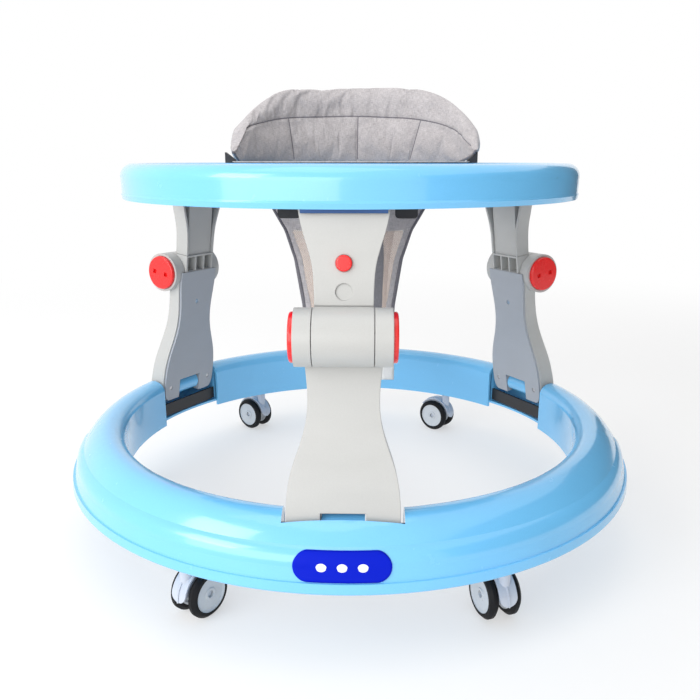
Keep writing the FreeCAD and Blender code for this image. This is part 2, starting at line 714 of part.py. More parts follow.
def seat_sling():
    """Fabric seat: a band inside the tray's collar and a strip that passes under the child."""
    thick = size("sling_thickness")
    centre_y = size("seat_centre_y")
    hole = size("seat_hole_radius")
    low = size("sling_bottom_z")
    band = ring(hole - 0.5 - thick, hole - 0.5, size("under_plate_z") - 8, size("sling_top_z"),
                centre_y)
    top = size("under_plate_z") - 1
    path = [(centre_y - hole + 2, top), (centre_y - hole + 8, 330), (-72, 235), (-15, low + 10),
            (40, low), (95, low + 10), (150, 250), (centre_y + hole - 8, 330),
            (centre_y + hole - 2, top)]
    outer = Part.BSplineCurve()
    outer.interpolate([Vector(-150, y, z) for y, z in path])
    inset = [(centre_y + (y - centre_y) * 0.965, z + thick * (1 if 0 < i < len(path) - 1 else 0))
             for i, (y, z) in enumerate(path)]
    inner = Part.BSplineCurve()
    inner.interpolate([Vector(-150, y, z) for y, z in reversed(inset)])
    joins = [Part.makeLine(outer.EndPoint, inner.StartPoint),
             Part.makeLine(inner.EndPoint, outer.StartPoint)]
    wire = Part.Wire([outer.toShape(), joins[0], inner.toShape(), joins[1]])
    strip = Part.Face(wire).extrude(Vector(300, 0, 0))
    front_view = [Vector(-92, -300, top), Vector(-50, -300, 280), Vector(-44, -300, 150),
                  Vector(44, -300, 150), Vector(50, -300, 280), Vector(92, -300, top)]
    strip = strip.common(prism(front_view, Vector(0, 700, 0)))
    return band.fuse(strip).removeSplitter()


def backrest_envelope(inner, outer):
    """The upright wall round the rear of the seat opening, its top edge falling to the sides."""
    low = size("tray_top_z") + 0.5
    top = size("pad_top_z")
    wall = ring(inner, outer, low, top, size("seat_centre_y"))
    rear_half = box(-300, 300, size("seat_centre_y") - 6, 400, low - 1, top + 1)
    right = [(139.7, low - 1), (163, low + 17), (163, low + 24), (128, top - 10), (105, top)]
    view = [Vector(x, -300, z) for x, z in right] + [Vector(-x, -300, z) for x, z in reversed(right)]
    return wall.common(rear_half).common(prism(view, Vector(0, 900, 0)))


def backrest_plate():
    middle = (size("pad_inner_radius") + size("pad_outer_radius")) / 2
    plate = backrest_envelope(middle, middle + size("plate_thickness"))
    return plate.cut(box(-300, 300, -300, 400, size("pad_top_z") - 15, 700))


def backrest_pad(plate):
    return backrest_envelope(size("pad_inner_radius"), size("pad_outer_radius")).cut(plate)


def seat_clips():
    """Black clips that hook the seat's front edge under the tray, and two beside the backrest."""
    plate = size("under_plate_z")
    centre_y = size("seat_centre_y")
    edge = centre_y - size("seat_hole_radius") - 6
    clips = []
    for x_low in (-73, 49.5):
        hook = box(x_low, x_low + 23.5, edge - 6, edge, plate - 20, plate)
        corners = [item for item in hook.Edges
                   if item.BoundBox.YLength > 5 and item.BoundBox.ZMax < plate - 10]
        clips.append(hook.makeFillet(4, corners))
    low = size("tray_top_z")
    wedge = [Vector(147, centre_y + 18, low), Vector(159, centre_y + 18, low),
             Vector(159, centre_y + 18, low + 13), Vector(147, centre_y + 18, low + 3.7)]
    for side in (-1, 1):
        clips.append(prism([Vector(side * p.x, p.y, p.z) for p in wedge], Vector(0, 14, 0)))
    return Part.Compound(clips)


# ---------------------------------------------------------------- assembly

shape_node("base_shell", base_shell())
shape_node("base_rim", base_rim())
shape_node("leg_straps", leg_straps())
shape_node("caster_sockets", caster_sockets())
shape_node("base_hinge_pins", base_hinge_pins())
shape_node("base_screws", base_screws())

for name in CASTERS:
    shape_node("caster_yoke_" + name, caster_yoke(), caster_placement(name))
    for side in (-1, 1):
        add_caster_wheel(name, side)

for name, angle in LEGS.items():
    lower = lower_placement(angle)
    upper = upper_placement(angle)
    knee_upright = Placement(upper.Base, lower.Rotation)
    pin_hole = size("hinge_pin_radius") + (size("running_gap") if name == "front" else 3.5)
    shape_node("lower_leg_" + name, lower_leg(), lower)
    shape_node("leg_panel_" + name, leg_panel(), lower)
    shape_node("leg_screws_" + name, leg_screws(), lower)
    shape_node("knee_bar_" + name, knee_bar(), upper)
    shape_node("sleeve_" + name, sleeve(pin_hole), upper)
    shape_node("height_button_" + name, height_button(), upper)
    pin = doc.addObject("Part::Cylinder", "knee_pin_" + name)
    bind(pin, Radius=cell("knee_pin_radius"), Height="2 * " + cell("button_pocket_x"))
    along_x = Placement(Vector(-size("button_pocket_x"), 0, 0), Rotation(Y_AXIS, 90))
    add_node(pin, "knee_pin_" + name, knee_upright.multiply(along_x))
    shape_node("knee_button_%s_a" % name, knee_button(-1), knee_upright)
    shape_node("knee_button_%s_b" % name, knee_button(1), knee_upright)

shape_node("tray_shell", tray_shell())
shape_node("tray_underside", tray_underside())
shape_node("tray_hinge_pins", tray_hinge_pins())
shape_node("seat_sling", seat_sling())
inner_plate = backrest_plate()
shape_node("backrest_plate", inner_plate)
shape_node("backrest_pad", backrest_pad(inner_plate))
shape_node("seat_clips", seat_clips())

doc.recompute()
for item in doc.Objects:
    if "Invalid" in item.State or "Error" in item.State:
        raise RuntimeError("%s failed: %s" % (item.Label, item.State))
for item in nodes:
    if item.Shape.isNull() or not item.Shape.isValid():
        raise RuntimeError("%s has a bad shape" % item.Label)

os.makedirs("parts", exist_ok=True)
for item in nodes:
    item.Shape.exportStep("parts/%s.step" % item.Label)
    print("%-28s solids %d  volume %.1f cm3" % (item.Label, len(item.Shape.Solids),
                                                item.Shape.Volume / 1000))
print(len(nodes), "nodes")
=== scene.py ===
"""Looks of a folding round baby walker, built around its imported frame.

Metres, +Z up, the front leg towards -Y. Angles round the seat are counted from the rear, +Y,
and angles round the base ring from the front leg, -Y; both are positive towards +X.
"""
import math
import random

import bpy
import numpy as np
from mathutils import Euler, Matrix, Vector
from mathutils.bvhtree import BVHTree


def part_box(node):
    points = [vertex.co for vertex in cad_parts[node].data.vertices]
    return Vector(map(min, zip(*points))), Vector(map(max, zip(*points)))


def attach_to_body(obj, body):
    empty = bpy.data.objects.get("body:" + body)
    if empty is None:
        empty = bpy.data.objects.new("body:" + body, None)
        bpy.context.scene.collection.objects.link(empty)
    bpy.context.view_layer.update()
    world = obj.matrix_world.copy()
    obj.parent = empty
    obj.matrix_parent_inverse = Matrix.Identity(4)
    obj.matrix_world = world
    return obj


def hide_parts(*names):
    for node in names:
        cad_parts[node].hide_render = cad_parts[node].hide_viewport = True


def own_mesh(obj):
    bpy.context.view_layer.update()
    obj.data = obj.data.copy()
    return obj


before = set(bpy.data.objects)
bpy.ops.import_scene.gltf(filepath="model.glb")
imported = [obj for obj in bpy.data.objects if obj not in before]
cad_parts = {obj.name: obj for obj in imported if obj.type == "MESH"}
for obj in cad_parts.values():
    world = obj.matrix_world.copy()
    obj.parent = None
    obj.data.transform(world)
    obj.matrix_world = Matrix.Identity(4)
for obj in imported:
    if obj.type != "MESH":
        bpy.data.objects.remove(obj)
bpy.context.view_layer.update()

LEGS = {"front": 0, "rear_right": 120, "rear_left": -120}
CASTERS = ("front_left", "front_right", "mid_left", "mid_right", "rear_left", "rear_right")
MM = 0.001

# Places read from the frame.
pad_low, pad_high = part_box("backrest_pad")
sling_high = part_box("seat_sling")[1]
tray_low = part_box("tray_shell")[0]

SEAT_Y = pad_high.y - pad_high.x
PAD_RADIUS = pad_high.x
HOLE_RADIUS = sling_high.y - SEAT_Y + 0.5 * MM


# ---------------------------------------------------------------- mesh helpers

CURVE_STEPS = 24

def new_piece(name, vertices, faces, materials, slots=None, uvs=None):
    """A mesh object with smooth faces; uvs is one (u, v) in metres per vertex."""
    mesh = bpy.data.meshes.new(name)
    mesh.from_pydata([tuple(v) for v in vertices], [], faces)
    for material in materials:
        mesh.materials.append(material)
    mesh.polygons.foreach_set("use_smooth", [True] * len(mesh.polygons))
    if slots is not None:
        mesh.polygons.foreach_set("material_index", slots)
    if uvs is not None:
        layer = mesh.uv_layers.new(name="cloth")
        for loop in mesh.loops:
            layer.data[loop.index].uv = uvs[loop.vertex_index]
    mesh.update()
    piece = bpy.data.objects.new(name, mesh)
    bpy.context.scene.collection.objects.link(piece)
    return piece


def grid_faces(rows, columns, wrap=False):
    """Quads of a grid whose vertices run row by row; wrap joins the last row to the first."""
    faces = []
    for row in range(rows if wrap else rows - 1):
        after = (row + 1) % rows
        for column in range(columns - 1):
            faces.append((row * columns + column, row * columns + column + 1,
                          after * columns + column + 1, after * columns + column))
    return faces


def modifier(piece, kind, **settings):
    item = piece.modifiers.new(kind.title(), kind)
    for key, value in settings.items():
        setattr(item, key, value)
    return item


def bake_modifiers(piece):
    """Replace a piece's mesh by what its modifiers make of it."""
    bpy.context.view_layer.update()
    evaluated = piece.evaluated_get(bpy.context.evaluated_depsgraph_get())
    baked = bpy.data.meshes.new_from_object(evaluated)
    piece.modifiers.clear()
    old = piece.data
    piece.data = baked
    bpy.data.meshes.remove(old)


def smooth_line(points, count):
    """A smooth curve through points, sampled evenly by length."""
    points = [Vector(p) for p in points]
    ends = [2 * points[0] - points[1]] + points + [2 * points[-1] - points[-2]]
    fine = []
    for i in range(1, len(ends) - 2):
        for step in range(CURVE_STEPS):
            t = step / CURVE_STEPS
            a, b, c, d = ends[i - 1:i + 3]
            fine.append(0.5 * (2 * b + (c - a) * t + (2 * a - 5 * b + 4 * c - d) * t * t
                               + (3 * b - a - 3 * c + d) * t ** 3))
    fine.append(points[-1])
    lengths = np.concatenate([[0], np.cumsum([(q - p).length for p, q in zip(fine, fine[1:])])])
    marks = np.linspace(0, lengths[-1], count)
    return [Vector([float(np.interp(m, lengths, [p[k] for p in fine])) for k in range(len(fine[0]))])
            for m in marks]


def tube(line, radius, sides, squash=1.0, up=Vector((0, 0, 1))):
    """Vertices and faces of a capped tube along a line; squash flattens it across up."""
    vertices = []
    count = len(line)
    for i, point in enumerate(line):
        ahead = line[i + 1] if i < count - 1 else point
        behind = line[i - 1] if i > 0 else point
        along = (ahead - behind).normalized()
        side = along.cross(up)
        side = side.normalized() if side.length > 1e-6 else Vector((1, 0, 0))
        lift = side.cross(along)
        for k in range(sides):
            angle = 2 * math.pi * k / sides
            across = side * (radius * math.cos(angle))
            vertices.append(point + across + lift * (radius * squash * math.sin(angle)))
    faces = []
    for i in range(count - 1):
        for k in range(sides):
            n = (k + 1) % sides
            faces.append((i * sides + k, i * sides + n, (i + 1) * sides + n, (i + 1) * sides + k))
    faces.append(tuple(range(sides - 1, -1, -1)))
    faces.append(tuple((count - 1) * sides + k for k in range(sides)))
    return vertices, faces


def joined(parts):
    """One vertex list and face list from several."""
    vertices, faces = [], []
    for part_vertices, part_faces in parts:
        offset = len(vertices)
        vertices.extend(part_vertices)
        faces.extend(tuple(index + offset for index in face) for face in part_faces)
    return vertices, faces


# ---------------------------------------------------------------- materials

def link(tree, source, target):
    if isinstance(source, bpy.types.NodeSocket):
        tree.links.new(source, target)
    else:
        target.default_value = source


def node(tree, kind, inputs=None, **settings):
    item = tree.nodes.new(kind)
    for key, value in settings.items():
        setattr(item, key, value)
    for key, value in (inputs or {}).items():
        link(tree, value, item.inputs[key])
    return item


def math_node(tree, operation, a, b=0.0, c=0.0):
    return node(tree, "ShaderNodeMath", {0: a, 1: b, 2: c}, operation=operation).outputs[0]


def noise(tree, place, scale, detail=2.0, roughness=0.5):
    made = node(tree, "ShaderNodeTexNoise",
                {"Vector": place, "Scale": scale, "Detail": detail, "Roughness": roughness})
    return made.outputs["Fac"]


def stretched(tree, place, scale):
    return node(tree, "ShaderNodeMapping", {"Vector": place, "Scale": scale}).outputs[0]


def remap(tree, value, low, high):
    """Spread a noise value, which mostly lies between 0.3 and 0.7, over low to high."""
    return node(tree, "ShaderNodeMapRange", {"Value": value, "From Min": 0.3, "From Max": 0.7,
                                             "To Min": low, "To Max": high}).outputs[0]


def shaded(tree, colour, factor):
    """A colour made lighter or darker by a factor near 1."""
    scaled = node(tree, "ShaderNodeVectorMath", {0: colour[:3], "Scale": factor}, operation="SCALE")
    return scaled.outputs[0]


def new_material(name, **sockets):
    material = bpy.data.materials.new(name)
    material.use_nodes = True
    shader = material.node_tree.nodes["Principled BSDF"]
    for key, value in sockets.items():
        shader.inputs[key.replace("_", " ")].default_value = value
    return material, material.node_tree, shader


SPECKLE = 0.02
WEAVE_CONTRAST = 0.13


def plastic(name, colour, roughness, coat=0.0, film=0.06, peel=0.02, edge=0.7, **sockets):
    """Moulded plastic: faint flow marks, fine surface grain and softly rounded edges.

    film is the coat's roughness, peel the grain's strength and edge the rounding in millimetres.
    """
    material, tree, shader = new_material(name, **sockets)
    place = node(tree, "ShaderNodeTexCoord").outputs["Object"]
    flow = noise(tree, stretched(tree, place, (1, 1, 3)), 14, 4)
    dust = noise(tree, place, 900, 2)
    tone = math_node(tree, "MULTIPLY", remap(tree, flow, 1 - SPECKLE, 1 + SPECKLE),
                     remap(tree, dust, 1 - SPECKLE, 1 + SPECKLE))
    link(tree, shaded(tree, colour, tone), shader.inputs["Base Color"])
    worn = noise(tree, place, 60, 5, 0.6)
    link(tree, remap(tree, worn, roughness * 0.85, roughness * 1.15), shader.inputs["Roughness"])
    shader.inputs["Coat Weight"].default_value = coat
    shader.inputs["Coat Roughness"].default_value = film
    bump = node(tree, "ShaderNodeBump", {"Height": noise(tree, place, 260, 2), "Strength": peel,
                                         "Distance": 0.4 * MM})
    if edge > 0:
        rounded = node(tree, "ShaderNodeBevel", {"Radius": edge * MM}, samples=4).outputs[0]
        link(tree, rounded, bump.inputs["Normal"])
    link(tree, bump.outputs[0], shader.inputs["Normal"])
    return material


def rubber(name, colour):
    """Matt rubber with a fine grain and dusty variation."""
    material, tree, shader = new_material(name, Specular_IOR_Level=0.25)
    place = node(tree, "ShaderNodeTexCoord").outputs["Object"]
    dust = noise(tree, place, 120, 5, 0.7)
    link(tree, shaded(tree, colour, remap(tree, dust, 0.8, 1.5)), shader.inputs["Base Color"])
    link(tree, remap(tree, dust, 0.5, 0.7), shader.inputs["Roughness"])
    bump = node(tree, "ShaderNodeBump", {"Height": noise(tree, place, 1500, 3), "Strength": 0.25,
                                         "Distance": 0.2 * MM})
    link(tree, bump.outputs[0], shader.inputs["Normal"])
    return material


def metal(name, colour, roughness, metallic):
    """Drawn or painted steel with fine scratches along its length."""
    material, tree, shader = new_material(name, Metallic=metallic)
    place = node(tree, "ShaderNodeTexCoord").outputs["Object"]
    scratch = noise(tree, stretched(tree, place, (60, 60, 2400)), 1, 3)
    link(tree, shaded(tree, colour, remap(tree, scratch, 0.85, 1.1)), shader.inputs["Base Color"])
    link(tree, remap(tree, scratch, roughness * 0.7, roughness * 1.3), shader.inputs["Roughness"])
    bump = node(tree, "ShaderNodeBump", {"Height": scratch, "Strength": 0.1, "Distance": 0.1 * MM})
    link(tree, bump.outputs[0], shader.inputs["Normal"])
    return material


def cloth(name, colour, light, thread=0.55):
    """Melange plain weave: crossing threads of mixed greys. thread is the pitch in millimetres."""
    material, tree, shader = new_material(name, Roughness=0.9, Sheen_Weight=0.3, Sheen_Roughness=0.5)
    place = node(tree, "ShaderNodeUVMap", uv_map="cloth").outputs[0]
    pitch = 1000 / thread
    across = noise(tree, stretched(tree, place, (160, pitch * 0.8, 1)), 1, 3, 0.7)
    along = noise(tree, stretched(tree, place, (pitch * 0.8, 160, 1)), 1, 3, 0.7)
    cloud = noise(tree, place, 30, 4, 0.6)
    mixed = math_node(tree, "ADD", math_node(tree, "MULTIPLY", across, 0.5),
                      math_node(tree, "MULTIPLY", along, 0.5))
    mixed = math_node(tree, "ADD", math_node(tree, "MULTIPLY", mixed, 0.85),
                      math_node(tree, "MULTIPLY", cloud, 0.15))
    share = node(tree, "ShaderNodeMapRange", {"Value": mixed, "From Min": 0.5 - WEAVE_CONTRAST,
                                              "From Max": 0.5 + WEAVE_CONTRAST}).outputs[0]
    blend = node(tree, "ShaderNodeMix", {"Factor": share, "A": colour, "B": light}, data_type="RGBA")
    link(tree, blend.outputs["Result"], shader.inputs["Base Color"])
    split = node(tree, "ShaderNodeSeparateXYZ", {0: place})
    waves = [math_node(tree, "SINE", math_node(tree, "MULTIPLY", split.outputs[axis], pitch * math.pi))
             for axis in (0, 1)]
    weave = math_node(tree, "MULTIPLY", *waves)
    height = math_node(tree, "ADD", math_node(tree, "MULTIPLY", weave, 0.5), mixed)
    bump = node(tree, "ShaderNodeBump", {"Height": height, "Strength": 0.45, "Distance": 0.25 * MM})
    link(tree, bump.outputs[0], shader.inputs["Normal"])
    return material


BLUE = plastic("baby_blue_plastic", (0.165, 0.530, 0.880), 0.24, coat=0.8, film=0.08, peel=0.02, edge=0)
# The shell's own blue darkened: painted shade for the parts under the tray's rim.
SHADED_BLUE = plastic("dark_blue_plastic", (0.012, 0.065, 0.210), 0.45, peel=0.08)
WHITE = plastic("white_plastic", (0.490, 0.490, 0.475), 0.36, peel=0.05, edge=1.4)
GREY = plastic("grey_plastic", (0.385, 0.410, 0.450), 0.48, peel=0.1)
RED = plastic("red_plastic", (0.860, 0.012, 0.012), 0.26, coat=0.4, peel=0.03)
BLACK = plastic("black_plastic", (0.018, 0.018, 0.022), 0.5, peel=0.12)
SMOKE = plastic("smoke_plastic", (0.520, 0.560, 0.640), 0.22, coat=0.3, peel=0.02)
HUB = plastic("hub_plastic", (0.560, 0.590, 0.620), 0.35, peel=0.05)
TYRE = rubber("tyre_rubber", (0.004, 0.004, 0.005))
STEEL = metal("steel", (0.56, 0.56, 0.58), 0.28, 1.0)
BLACK_STEEL = metal("black_steel", (0.02, 0.02, 0.022), 0.4, 0.0)
FABRIC = cloth("grey_melange", (0.275, 0.255, 0.260, 1), (0.610, 0.575, 0.580, 1))
STRIP = cloth("dark_melange", (0.150, 0.145, 0.158, 1), (0.300, 0.290, 0.305, 1))
TAPE = cloth("grosgrain_tape", (0.120, 0.112, 0.128, 1), (0.210, 0.200, 0.220, 1), thread=0.9)
NET = cloth("beige_thread", (0.620, 0.480, 0.400, 1), (0.860, 0.740, 0.660, 1), thread=0.3)
LABEL = cloth("white_label", (0.740, 0.740, 0.730, 1), (0.860, 0.860, 0.850, 1), thread=0.3)
BADGE_BLUE = plastic("royal_blue_badge", (0.001, 0.012, 0.500), 0.5, edge=0, Specular_IOR_Level=0.08)
BADGE_WHITE = plastic("white_badge_dot", (0.820, 0.820, 0.820), 0.3)

HUB_RADIUS = 18.35 * MM


def dress(names, material):
    for name in names:
        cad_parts[name].data.materials.clear()
        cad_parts[name].data.materials.append(material)


def dress_wheel(name):
    """Tyre rubber outside the hub and hub plastic inside, told apart by distance from the axle."""
    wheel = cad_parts[name]
    low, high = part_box(name)
    centre = (low + high) / 2
    wheel.data.materials.clear()
    wheel.data.materials.append(TYRE)
    wheel.data.materials.append(HUB)
    axis = wheel_axis(wheel, centre)
    for face in wheel.data.polygons:
        away = face.center - centre
        reach = (away - axis * away.dot(axis)).length
        face.material_index = 1 if reach < HUB_RADIUS else 0


def wheel_axis(wheel, centre):
    """The thinnest direction of a wheel's points."""
    points = np.array([v.co - centre for v in wheel.data.vertices])
    directions = np.linalg.eigh(points.T @ points)[1]
    return Vector(directions[:, 0])


def dress_frame():
    dress(["base_shell", "base_rim", "tray_shell"], BLUE)
    # The tray's underside is the shell's blue plastic, darkened here as painted shade.
    dress(["tray_underside"], SHADED_BLUE)
    dress(["leg_straps"], BLACK_STEEL)
    dress(["caster_sockets", "seat_clips"], BLACK)
    dress(["base_hinge_pins", "base_screws", "tray_hinge_pins"], STEEL)
    for leg in LEGS:
        dress(["lower_leg_" + leg, "sleeve_" + leg, "knee_bar_" + leg], WHITE)
        dress(["leg_panel_" + leg], GREY)
        dress(["leg_screws_" + leg, "knee_pin_" + leg], STEEL)
        dress(["height_button_" + leg, "knee_button_%s_a" % leg, "knee_button_%s_b" % leg], RED)
    for caster in CASTERS:
        dress(["caster_yoke_" + caster], SMOKE)
        dress_wheel("wheel_%s_a" % caster)
        dress_wheel("wheel_%s_b" % caster)


# ---------------------------------------------------------------- seat sling

SLING_PATH = [(-0.1080, 0.3970), (-0.1040, 0.3610), (-0.0985, 0.3250), (-0.0880, 0.2780),
              (-0.0690, 0.2330), (-0.0320, 0.1960), (0.0120, 0.1815), (0.0400, 0.1795)]
SLING_HALF_WIDTH = [(0.1780, 0.045), (0.2330, 0.047), (0.2780, 0.050), (0.3300, 0.058),
                    (0.3610, 0.068), (0.3900, 0.086), (0.3970, 0.090)]
STRIP_HALF = 0.039
BORDER = 0.008
WINDOW_LOW = 0.262
WINDOW_HIGH = 0.361
SLING_ROWS = 121
PIPING_STEPS = 140
STRIP_COLUMNS = 6
WINDOW_COLUMNS = 6
NET_PITCH = 2.9 * MM
NET_RADIUS = 0.55 * MM
NET_SLOPE = 1.35
NET_STEPS = 60


class Sling:
    """The strip that hangs from the collar's front, passes under the child and rises behind."""

    def __init__(self):
        front = [Vector((0, y, z)) for y, z in SLING_PATH]
        rear = [Vector((0, 2 * SEAT_Y - p.y, p.z)) for p in reversed(front[:-1])]
        self.line = smooth_line(front + rear, 161)
        self.length = sum((q - p).length for p, q in zip(self.line, self.line[1:]))

    def middle(self, share):
        spot = max(0.0, min(1.0, share)) * (len(self.line) - 1)
        index = min(int(spot), len(self.line) - 2)
        return self.line[index].lerp(self.line[index + 1], spot - index)

    def half_width(self, share):
        heights, halves = zip(*SLING_HALF_WIDTH)
        return float(np.interp(self.middle(share).z, heights, halves))

    def inward(self, share):
        step = 0.004
        along = (self.middle(share + step) - self.middle(share - step)).normalized()
        return Vector((0, -along.z, along.y))

    def point(self, x, share):
        """The place on the sheet at x across and share along, edges curling towards the child."""
        middle = self.middle(share)
        radius = HOLE_RADIUS - 2 * MM
        curl = radius - math.sqrt(radius ** 2 - min(abs(x), radius * 0.9) ** 2)
        top, bottom = SLING_PATH[0][1], SLING_PATH[-1][1]
        hang = (middle.z - bottom) / (top - bottom)
        return middle + Vector((x, 0, 0)) + self.inward(share) * curl * (0.45 + 0.55 * hang)


def ripple(x, share):
    """Small soft waves of slack cloth."""
    return 0.9 * MM * math.sin(90 * x + 25 * share + 1.0) * math.sin(31 * share + 40 * x)


def sling_columns(half):
    """Positions across the sling: border, window, centre strip, window, border."""
    strip = min(STRIP_HALF, half - BORDER - 0.004)
    right = np.concatenate([np.linspace(0, strip, STRIP_COLUMNS + 1),
                            np.linspace(strip, half - BORDER, WINDOW_COLUMNS + 1)[1:],
                            np.linspace(half - BORDER, half, 3)[1:]])
    return np.concatenate([-right[:0:-1], right])


def make_sling():
    """The seat's cloth with its two windows left out, and the pieces sewn to it."""
    sling = Sling()
    rows = SLING_ROWS
    vertices, uvs, faces, slots = [], [], [], []
    columns = 0
    for row in range(rows):
        share = row / (rows - 1)
        places = sling_columns(sling.half_width(share))
        columns = len(places)
        for x in places:
            normal = sling.inward(share)
            vertices.append(sling.point(x, share) + normal * ripple(x, share))
            uvs.append((x, share * sling.length))
    middle = (columns - 1) // 2
    for row in range(rows - 1):
        share = (row + 0.5) / (rows - 1)
        height = sling.middle(share).z
        for column in range(columns - 1):
            inside = abs(column + 0.5 - middle)
            front = share < 0.5
            in_window = STRIP_COLUMNS < inside < STRIP_COLUMNS + WINDOW_COLUMNS
            if front and WINDOW_LOW < height < WINDOW_HIGH and in_window:
                continue
            first = row * columns + column
            faces.append((first, first + 1, first + columns + 1, first + columns))
            slots.append(1 if inside < STRIP_COLUMNS and height < WINDOW_HIGH and front else 0)
    panel = new_piece("seat_sling_cloth", vertices, faces, [FABRIC, STRIP], slots, uvs)
    modifier(panel, "SOLIDIFY", thickness=1.1 * MM, offset=0)
    modifier(panel, "SUBSURF", levels=1, render_levels=1)
    bake_modifiers(panel)
    return [panel, make_piping(sling), make_net(sling), make_label(sling)]


def make_piping(sling):
    """Folded tape sewn round both long edges."""
    parts = []
    for side in (-1, 1):
        line = []
        for step in range(PIPING_STEPS + 1):
            share = step / PIPING_STEPS
            line.append(sling.point(side * sling.half_width(share), share))
        parts.append(tube(line, 2.6 * MM, 10, 0.75))
    vertices, faces = joined(parts)
    uvs = [(v.x, v.y + v.z) for v in vertices]
    return new_piece("seat_piping", vertices, faces, [TAPE], uvs=uvs)


def make_net(sling):
    """Two windows of diamond netting between the centre strip and the borders."""
    shares = np.linspace(0, 0.5, 400)
    heights = [sling.middle(s).z for s in shares]
    start = float(np.interp(-WINDOW_HIGH, [-h for h in heights], shares))
    end = float(np.interp(-WINDOW_LOW, [-h for h in heights], shares))
    length = (end - start) * sling.length
    parts = []
    for side in (-1, 1):
        for slant in (-1, 1):
            offset = -0.06
            while offset < length + 0.06:
                line = []
                for step in range(NET_STEPS):
                    x = STRIP_HALF - 1 * MM + step * 0.8 * MM
                    along = offset + slant * NET_SLOPE * (x - STRIP_HALF)
                    share = start + along / sling.length
                    inside = start - 0.002 < share < end + 0.002
                    if inside and x < sling.half_width(share) - BORDER + 1 * MM:
                        lift = 0.2 * MM * slant
                        line.append(sling.point(side * x, share) + sling.inward(share) * lift)
                if len(line) > 3:
                    parts.append(tube(line, NET_RADIUS, 4))
                offset += NET_PITCH
    vertices, faces = joined(parts)
    uvs = [(v.x, v.z) for v in vertices]
    return new_piece("seat_net", vertices, faces, [NET], uvs=uvs)


def make_label(sling):
    """A small blank care label sewn into the right edge."""
    rows, columns = 9, 5
    share = 0.36
    top = sling.point(sling.half_width(share), share) + Vector((0.001, -0.003, 0.002))
    vertices, uvs = [], []
    for row in range(rows):
        for column in range(columns):
            down = 0.026 * row / (rows - 1)
            across = 0.015 * (column / (columns - 1) - 0.5)
            curve = 0.004 * math.sin(math.pi * row / (rows - 1))
            vertices.append(top + Vector((across, -curve, -down)))
            uvs.append((across, down))
    label = new_piece("care_label", vertices, grid_faces(rows, columns), [LABEL], uvs=uvs)
    modifier(label, "SOLIDIFY", thickness=0.4 * MM)
    bake_modifiers(label)
    return label


def make_seat_band():
    """The band of fabric that lines the collar and rolls over its top edge."""
    radius = HOLE_RADIUS - 1.6 * MM
    profile = [(radius, 0.4010), (radius - 0.4 * MM, 0.4065), (radius, 0.415), (radius - 0.3 * MM, 0.426),
               (radius + 0.2 * MM, 0.4325), (radius + 2.2 * MM, 0.4352), (radius + 4.6 * MM, 0.4348)]
    around = 180
    vertices, uvs = [], []
    for step in range(around):
        angle = 2 * math.pi * step / around
        for index, (r, z) in enumerate(profile):
            wave = 0.35 * MM * math.sin(23 * angle + index)
            vertices.append(Vector(((r + wave) * math.sin(angle), SEAT_Y + (r + wave) * math.cos(angle), z)))
            uvs.append((angle * radius, z))
    faces = grid_faces(around, len(profile), wrap=True)
    band = new_piece("seat_band", vertices, faces, [FABRIC], uvs=uvs)
    modifier(band, "SOLIDIFY", thickness=1.2 * MM, offset=0)
    modifier(band, "SUBSURF", levels=1, render_levels=1)
    bake_modifiers(band)
    return band


# ---------------------------------------------------------------- backrest

# Heights of the backrest's top edge and of its arc seam, by angle from the rear.
TOP_EDGE = [(-94, 0.420), (-76, 0.451), (-67, 0.475), (-49, 0.513), (-36, 0.533), (-12, 0.5365),
            (28, 0.536), (46, 0.523), (68, 0.486), (86, 0.448), (100, 0.420)]
SEAM_EDGE = [(-94, 0.420), (-80, 0.446), (-66, 0.479), (-38, 0.4945), (0, 0.4985), (32, 0.494),
             (55, 0.483), (74, 0.461), (88, 0.443), (100, 0.428)]
LEFT_END, RIGHT_END = -79, 86
SEAMS = (-35.3, 2.8, 37.9)
FACE_RADIUS = 0.1560
FACE_LEAN = 0.0040
ROLL_RADIUS = 0.1630
ROLL_REACH = 0.0110
BACK_RADIUS = 0.1705
PAD_ROWS = 331
SEAM_WIDTH = 0.9 * MM
SEAM_DEPTH = 1.6 * MM
FACE_STEPS = 16
ROLL_STEPS = 14
ROLL_START = 20
PUFF = 3.4 * MM
SIM_STEPS = 20
FOLDS = 46


def along_edge(table, angle):
    """Height along an edge, with its corners rounded off."""
    angles, heights = zip(*table)
    return float(np.mean([np.interp(angle + turn, angles, heights) for turn in range(-8, 9, 2)]))


def polar(radius, angle, z):
    turn = math.radians(angle)
    return Vector((radius * math.sin(turn), SEAT_Y + radius * math.cos(turn), z))


def cell_puff(angle):
    """From 0 on a vertical seam to 1 in the middle of the padding between two seams."""
    edges = (LEFT_END,) + SEAMS + (RIGHT_END,)
    for left, right in zip(edges, edges[1:]):
        if left <= angle <= right:
            share = (angle - left) / (right - left)
            return (4 * share * (1 - share)) ** 0.35
    return 0.0


